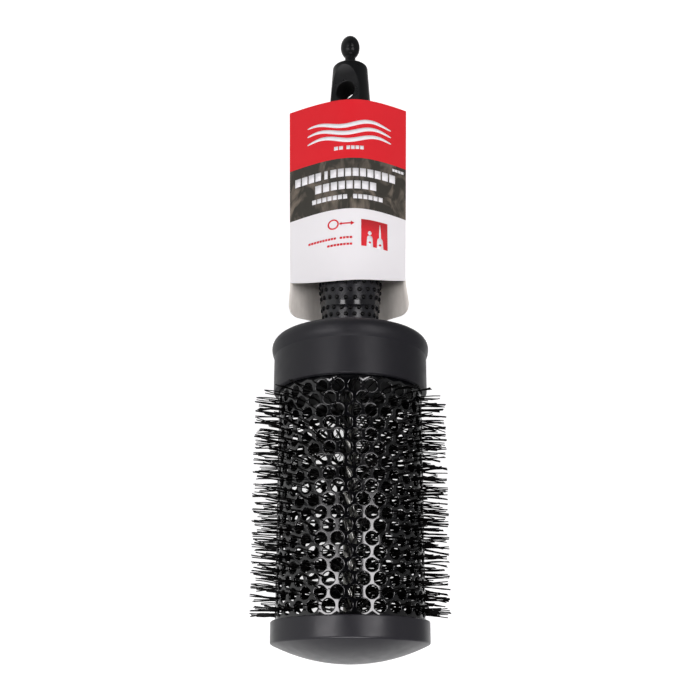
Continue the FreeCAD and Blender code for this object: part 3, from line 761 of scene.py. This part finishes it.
def front_edge(share):
    return CARD_FRONT_LOW - CARD_FRONT_DIP * (1 - share ** 2)


def back_edge(share):
    over = (abs(share) - 1) * CARD_HALF_LOW + CARD_CORNER
    if over <= 0:
        return CARD_BACK_LOW
    return CARD_BACK_LOW + CARD_CORNER - math.sqrt(max(CARD_CORNER ** 2 - over ** 2, 0.0))


def add_panel(mesh, side, shares, lower_edge, high, beds, finishes):
    """A bowed sheet with its thickness at the edges.

    shares are places across, from -1 to 1 at the creases, beds are its two depths under the
    card's outer face, and finishes are those of its outer face and of the rest."""
    faces = []
    for bed in beds:
        grid = []
        for share in shares:
            low = lower_edge(share)
            column = []
            for i in range(PANEL_ROWS + 1):
                along = low + (high - low) * i / PANEL_ROWS
                inward = card_half_width(along) - bed * CREASE_INSET
                column.append(mesh.point(card_place(share * inward, along, -bed, side)))
            grid.append(column)
        faces.append(grid if side > 0 else grid[::-1])
    outside, inside = faces
    outer, rest = finishes
    for first, second in zip(outside, outside[1:]):
        mesh.bridge(second, first, outer, closed=False)
    for first, second in zip(inside, inside[1:]):
        mesh.bridge(first, second, rest, closed=False)
    lower = [[column[0] for column in grid] for grid in (inside, outside)]
    upper = [[column[-1] for column in grid] for grid in (outside, inside)]
    for first, second in ((outside[0], inside[0]), (inside[-1], outside[-1]), lower, upper):
        mesh.bridge(first, second, rest, closed=False)


def make_panel(name, side, lower_edge, stands_for):
    """A panel of the sleeve, printed on its outer side and plain board inside."""
    mesh = Mesh()
    shares = [2 * i / PANEL_COLUMNS - 1 for i in range(PANEL_COLUMNS + 1)]
    add_panel(mesh, side, shares, lower_edge, CARD_HIGH, (0.0, CARD_THICKNESS), (0, 1))
    piece = mesh.make(name, "card", "card_print" if side > 0 else "card_board",
                      [PRINTED, BOARD], [stands_for])
    piece.data.set_sharp_from_angle(angle=CREASE_ANGLE)


def make_flap():
    """The glue flap inside the back panel."""
    mesh = Mesh()
    width = FLAP_WIDTH / CARD_HALF_WAIST
    shares = [width * i / FLAP_COLUMNS - 1 for i in range(FLAP_COLUMNS + 1)]
    beds = (CARD_THICKNESS + FLAP_GAP, 2 * CARD_THICKNESS + FLAP_GAP)
    add_panel(mesh, -1, shares, lambda share: FLAP_LOW, FLAP_HIGH, beds, (0, 0))
    piece = mesh.make("card_flap", "card", "card_board", [BOARD], ["card_glue_flap"])
    piece.data.set_sharp_from_angle(angle=CREASE_ANGLE)


def print_line(along):
    """The frame's Y, where the axis is, of a line in the card's print."""
    return TIP_OF_DOME + (along - CARD_SKEW * CARD_MIDDLE) * MM


PRINTED = printed_board("card_print", white_top=print_line(PRINT_WHITE_TOP),
                        dark_top=print_line(PRINT_DARK_TOP), skew=CARD_SKEW)
BOARD = plain_board("card_board", dark=(0.76, 0.72, 0.66), light=(0.86, 0.82, 0.76))
INK_WHITE = plain_board("ink_white", dark=(0.765, 0.758, 0.775), light=(0.80, 0.793, 0.81))
INK_RED = plain_board("ink_red", dark=(0.60, 0.012, 0.020), light=(0.68, 0.016, 0.026))

# ---------------------------------------------------------------- the card's graphics

# All of them are generic. Their places are (x, along), with x from the brush's axis.

# A layer of ink, how deep the lowest layer reaches into the board, and the longest part of a
# bar, so that it follows the bowed board.
INK_THICKNESS = 0.06
INK_DEPTH = 0.04
BAR_PART = 1.5
# Wavy strands, each a little ahead of the one below. They swell from their ends to the middle.
STRANDS = 3
STRAND_MIDDLE = (-0.4, 205.4)
STRAND_PITCH = 3.3
STRAND_LENGTH = 33.5
STRAND_WAVE = 1.1
STRAND_HALF_WAVES = 3
STRAND_AHEAD = 0.35
STRAND_END_WIDTH = 0.35
STRAND_SWELL = 1.5
STRAND_FULLNESS = 0.6
STRAND_PARTS = 40
# Rows of blocks that stand for words: (left, word lengths, gap, low, high, block's pitch).
LIGHT_WORDS = [
    (-6.4, (3.9, 7.2), 1.0, 196.9, 198.5, 1.6),
    (-22.0, (11.0, 1.6, 26.2), 0.8, 184.9, 188.4, 2.8),
    (-13.8, (24.6,), 0.0, 179.4, 182.9, 2.9),
    (-15.0, (14.2, 12.0), 1.9, 175.1, 177.0, 2.1),
    (16.8, (4.8,), 0.0, 190.3, 191.4, 1.1),
]
RED_WORDS = [
    (-16.3, (11.0, 5.1), 1.2, 158.0, 158.9, 1.15),
    (-8.9, (9.9,), 0.0, 155.2, 156.1, 1.2),
]
BLOCK_SPACE = 0.2
# A ring, and an arrow beside it. The arrow's back and point are (x, width) at both ends.
RING_X = -6.6
RING_RADIUS = 1.9
RING_PARTS = 28
ARROW_ALONG = 164.5
ARROW_THICKNESS = 0.6
ARROW_BACK = [(-4.2, 0.0), (-3.4, 1.6)]
ARROW_POINT = [(0.2, 1.8), (1.6, 0.05)]
ARROW_SHAFT = (-4.2, 0.6)
# The pictogram's red square: left, right, low and high.
SQUARE = (4.2, 14.5, 155.0, 166.3)
# The place of the top of a handle with a knob, and of one with a pin.
KNOB_HANDLE = (7.5, 159.6)
PIN_HANDLE = (11.5, 159.3)
# Outlines from a handle's top: (up, width).
HANDLE_OUTLINE = [(-1.2, 2.185), (-0.3, 1.725), (0.0, 0.805)]
PIN_OUTLINE = [(-0.05, 0.75), (2.4, 0.65)]
# The handle's foot is below the square's lower edge, the pin's point below its upper one.
HANDLE_FOOT_DOWN = 0.1
HANDLE_FOOT_WIDTH = 2.53
PIN_POINT_DOWN = 1.3
PIN_POINT_WIDTH = 0.12
KNOB_START = 0.15
KNOB_LENGTH = 1.8
KNOB_NECK = 0.3
KNOB_SWELL = 1.15
KNOB_PARTS = 8
# The hole in each handle, across it and below its top.
HOLE_OUTLINE = [(-0.45, 0.45), (0.0, 0.95), (0.45, 0.45)]
HOLE_DOWN = 2.9


def ink_section(mesh, x, along, aside, layer=0):
    """The cross-section of a slab of ink, whose half width is the vector aside."""
    top = (layer + 1) * INK_THICKNESS
    bottom = layer * INK_THICKNESS - INK_DEPTH
    corners = ((aside, top), (-aside, top), (-aside, bottom), (aside, bottom))
    return mesh.loop(card_place(x - CARD_MIDDLE + off.x, along + off.y, height)
                     for off, height in corners)


def add_slab(mesh, spine, widths, layer=0):
    """A thin closed slab on the card along a spine of places."""
    sections = []
    for i, (x, along) in enumerate(spine):
        ahead = (Vector(spine[min(i + 1, len(spine) - 1)]) -
                 Vector(spine[max(i - 1, 0)])).normalized()
        aside = Vector((-ahead.y, ahead.x)) * widths[i] / 2
        sections.append(ink_section(mesh, x, along, aside, layer))
    mesh.rod(sections)


def add_bar(mesh, left, right, low, high):
    parts = max(2, math.ceil((right - left) / BAR_PART))
    spine = [(left + (right - left) * i / parts, (low + high) / 2) for i in range(parts + 1)]
    add_slab(mesh, spine, [high - low] * len(spine))


def add_words(mesh, left, lengths, gap, low, high, block):
    """A row of blocks that stands for words."""
    for length in lengths:
        count = max(1, round(length / block))
        pitch = length / count
        for number in range(count):
            start = left + number * pitch
            add_bar(mesh, start, start + pitch * (1 - BLOCK_SPACE), low, high)
        left += length + gap


def add_strands(mesh):
    """Wavy strands that taper towards their ends."""
    middle_x, middle_along = STRAND_MIDDLE
    shares = [i / STRAND_PARTS for i in range(STRAND_PARTS + 1)]
    widths = [STRAND_END_WIDTH + STRAND_SWELL * math.sin(math.pi * share) ** STRAND_FULLNESS
              for share in shares]
    for strand in range(STRANDS):
        along = middle_along + (strand - (STRANDS - 1) / 2) * STRAND_PITCH
        spine = [(middle_x + (share - 0.5) * STRAND_LENGTH,
                  along + STRAND_WAVE * math.sin(share * STRAND_HALF_WAVES * math.pi
                                                 + strand * STRAND_AHEAD)) for share in shares]
        add_slab(mesh, spine, widths)


def add_ring_and_arrow(mesh):
    rings = []
    for angle in turns(RING_PARTS):
        outward = Vector((math.cos(angle), math.sin(angle)))
        rings.append(ink_section(mesh, RING_X + RING_RADIUS * math.cos(angle),
                                 ARROW_ALONG + RING_RADIUS * math.sin(angle),
                                 outward * ARROW_THICKNESS / 2))
    for first, second in zip(rings, rings[1:] + rings[:1]):
        mesh.bridge(second, first)
    add_bar(mesh, *ARROW_SHAFT, ARROW_ALONG - ARROW_THICKNESS / 2,
            ARROW_ALONG + ARROW_THICKNESS / 2)
    for part in (ARROW_BACK, ARROW_POINT):
        add_slab(mesh, [(x, ARROW_ALONG) for x, _ in part], [width for _, width in part])


def add_pictogram(mesh):
    """A handle with its knob, and beside it a pick with its pin."""
    _, _, low, high = SQUARE
    knob = [(KNOB_START + KNOB_LENGTH * i / KNOB_PARTS,
             KNOB_NECK + KNOB_SWELL * math.sin(math.pi * i / KNOB_PARTS))
            for i in range(KNOB_PARTS + 1)]
    pin = [*PIN_OUTLINE, (high - PIN_POINT_DOWN - PIN_HANDLE[1], PIN_POINT_WIDTH)]
    for (x, top), end in ((KNOB_HANDLE, knob), (PIN_HANDLE, pin)):
        body = [(low - HANDLE_FOOT_DOWN - top, HANDLE_FOOT_WIDTH), *HANDLE_OUTLINE]
        for outline in (body, end):
            add_slab(mesh, [(x, top + up) for up, _ in outline],
                     [width for _, width in outline], 1)


def make_print():
    """The card's graphics: strands, blocks for words, a ring with an arrow and a pictogram."""
    light = Mesh()
    add_strands(light)
    for words in LIGHT_WORDS:
        add_words(light, *words)
    add_pictogram(light)
    light.make("card_light_print", "card", "card_print", [INK_WHITE])

    red = Mesh()
    add_ring_and_arrow(red)
    for words in RED_WORDS:
        add_words(red, *words)
    add_bar(red, *SQUARE)
    for x, top in (KNOB_HANDLE, PIN_HANDLE):
        add_slab(red, [(x + off, top - HOLE_DOWN) for off, _ in HOLE_OUTLINE],
                 [width for _, width in HOLE_OUTLINE], 2)
    red.make("card_red_print", "card", "card_print", [INK_RED])


# ---------------------------------------------------------------- carried-over CAD pieces

HANG_HOLE = 227.0
HANG_HOLE_LEAN = math.radians(23.0)
HANG_HOLE_RADIUS = 4.0
PICK_LOOKS = {"dark": (0.003, 0.0035, 0.004), "light": (0.005, 0.0055, 0.006),
              "roughness": (0.26, 0.36), "grain": (2200, 0.006)}
PICK_PIN = moulded("pick_plastic", **PICK_LOOKS, specular=0.26)
# The wall of the pick head's hang hole gets painted shade: black and fully rough.
PICK_HEAD = moulded("pick_head", **PICK_LOOKS, specular=0.22,
                    bore=(world(0, HANG_HOLE, 0), HANG_HOLE_LEAN, HANG_HOLE_RADIUS))

CAD_FINISHES = {
    "core_wire_a": STEEL, "core_wire_b": STEEL,
    "core_tip_ferrule": FERRULE, "core_anchor_ferrule": FERRULE,
    # The end cap takes the lighter copy of the soft-touch plastic, which paints in light.
    "end_cap": SOFT_TOUCH_PAINTED_LIGHT, "collar": SOFT_TOUCH,
    "cap_insert": INNER_PLASTIC, "barrel_hub": INNER_PLASTIC, "pick_socket": INNER_PLASTIC,
    "handle_core": HANDLE_PLASTIC, "pick_head": PICK_HEAD, "pick_pin": PICK_PIN,
}


def finish_cad_pieces():
    for name, finish in CAD_FINISHES.items():
        data = frame["nodes"][name].data
        data.materials.clear()
        data.materials.append(finish)


# ---------------------------------------------------------------- floor, light and camera

FLOOR_HALF = 6.0
FLOOR_GLOW = 0.68
LIGHT_COLOUR = (1.0, 0.975, 1.0)
# The room's brightness in a direction, in smooth steps over its Z or X: (first, last, from, to).
CEILING_STEP = (1.0, 0.06, 0.40, 0.80)
SIDE_STEP = (0.62, 0.20, -0.6, 0.4)
GROUND_STEP = (0.95, 0.0, -0.90, -0.50)
CAMERA_AIM = (-0.1, 117.0, 0)
CAMERA_ELEVATION = math.radians(71.9)
CAMERA_DISTANCE = 463.5
CAMERA_LENS = 62.07
CAMERA_SENSOR = 36.0


def make_floor():
    """A white light table. Reflections see the room's ground in its place."""
    half = FLOOR_HALF
    data = bpy.data.meshes.new("floor")
    data.from_pydata([(-half, -half, 0), (half, -half, 0), (half, half, 0), (-half, half, 0)],
                     [], [(0, 1, 2, 3)])
    nodes = Material("pale_floor")
    nodes.set(Base_Color=nodes.mix(nodes.noise(2, 1), (0.55, 0.55, 0.55), (0.56, 0.56, 0.56)),
              Roughness=0.9, Specular_IOR_Level=0.0, Emission_Strength=FLOOR_GLOW,
              Emission_Color=(1.0, 1.0, 1.0, 1.0))
    data.materials.append(nodes.material)
    floor = bpy.data.objects.new("floor", data)
    floor.visible_glossy = False
    bpy.context.scene.collection.objects.link(floor)


def make_light(name, lean, tilt, distance, size, middle, radiance, mirrored=True):
    """A soft box over the brush.

    lean tips it towards -Y and tilt towards +X, both in degrees. size is across and along the
    brush, middle is its place along the frame's Y, and both are in millimetres, as distance is.
    Reflections don't show one that isn't mirrored."""
    light = bpy.data.lights.new(name, "AREA")
    light.shape = "RECTANGLE"
    light.size, light.size_y = (side * MM for side in size)
    light.energy = radiance * math.pi * light.size * light.size_y
    light.color = LIGHT_COLOUR
    lamp = bpy.data.objects.new(name, light)
    turn = Euler((math.radians(lean), math.radians(tilt), 0))
    away = turn.to_matrix() @ Vector((0, 0, distance * MM))
    lamp.location = Vector((0, middle * MM, AXIS_HEIGHT)) + away
    lamp.rotation_euler = turn
    lamp.visible_glossy = mirrored
    bpy.context.scene.collection.objects.link(lamp)


def make_lights():
    """Strips that the tube mirrors at both sides of its middle, boxes that light the handle and
    the dome, and two fills."""
    make_light("strip_left", lean=0, tilt=-32, distance=900, size=(490, 170), middle=-60,
               radiance=7.5)
    make_light("strip_left_dim", lean=0, tilt=-32, distance=900, size=(470, 80), middle=65,
               radiance=1.4)
    make_light("strip_right", lean=0, tilt=31.5, distance=900, size=(390, 200), middle=-15,
               radiance=7.4)
    make_light("upper_left", lean=0, tilt=-29, distance=900, size=(260, 170), middle=385,
               radiance=6.5)
    make_light("upper_right", lean=0, tilt=26, distance=900, size=(290, 170), middle=385,
               radiance=6.5)
    make_light("front_box", lean=52, tilt=0, distance=620, size=(460, 300), middle=-20,
               radiance=5.0)
    make_light("ceiling_fill", lean=0, tilt=0, distance=1100, size=(2400, 2400), middle=0,
               radiance=0.1, mirrored=False)
    make_light("right_fill", lean=0, tilt=55, distance=1100, size=(900, 1500), middle=0,
               radiance=0.72, mirrored=False)


def make_world():
    """A room with a dark ceiling and a grey ground, pale on the left and dark on the right."""
    room = bpy.data.worlds.new("studio")
    bpy.context.scene.world = room
    room.use_nodes = True
    nodes = Tree(room.node_tree)
    background = nodes.tree.nodes["Background"]
    axes = nodes.axes(nodes.add("ShaderNodeTexCoord").outputs["Generated"])
    ceiling, side, ground = [
        nodes.spread(axes[axis], *step, interpolation_type="SMOOTHSTEP")
        for axis, step in (("Z", CEILING_STEP), ("X", SIDE_STEP), ("Z", GROUND_STEP))]
    walls = nodes.maths("MULTIPLY", ceiling, side)
    nodes.feed(background.inputs["Color"], (1, 1, 1, 1))
    nodes.feed(background.inputs["Strength"], nodes.maths("MAXIMUM", walls, ground))


def make_camera():
    data = bpy.data.cameras.new("camera")
    data.lens = CAMERA_LENS
    data.sensor_width = CAMERA_SENSOR
    camera = bpy.data.objects.new("camera", data)
    back = Vector((0, -math.cos(CAMERA_ELEVATION), math.sin(CAMERA_ELEVATION)))
    camera.location = world(*CAMERA_AIM) + back * CAMERA_DISTANCE * MM
    camera.rotation_euler = (-back).to_track_quat("-Z", "Y").to_euler()
    bpy.context.scene.collection.objects.link(camera)
    bpy.context.scene.camera = camera


make_camera()
make_floor()
make_lights()
make_world()
bpy.context.scene.view_settings.view_transform = "Standard"

make_barrel()
make_bristles()
make_grip()
make_panel("card_front_panel", 1, front_edge, "card_front")
make_panel("card_back_panel", -1, back_edge, "card_back")
make_flap()
make_print()
finish_cad_pieces()
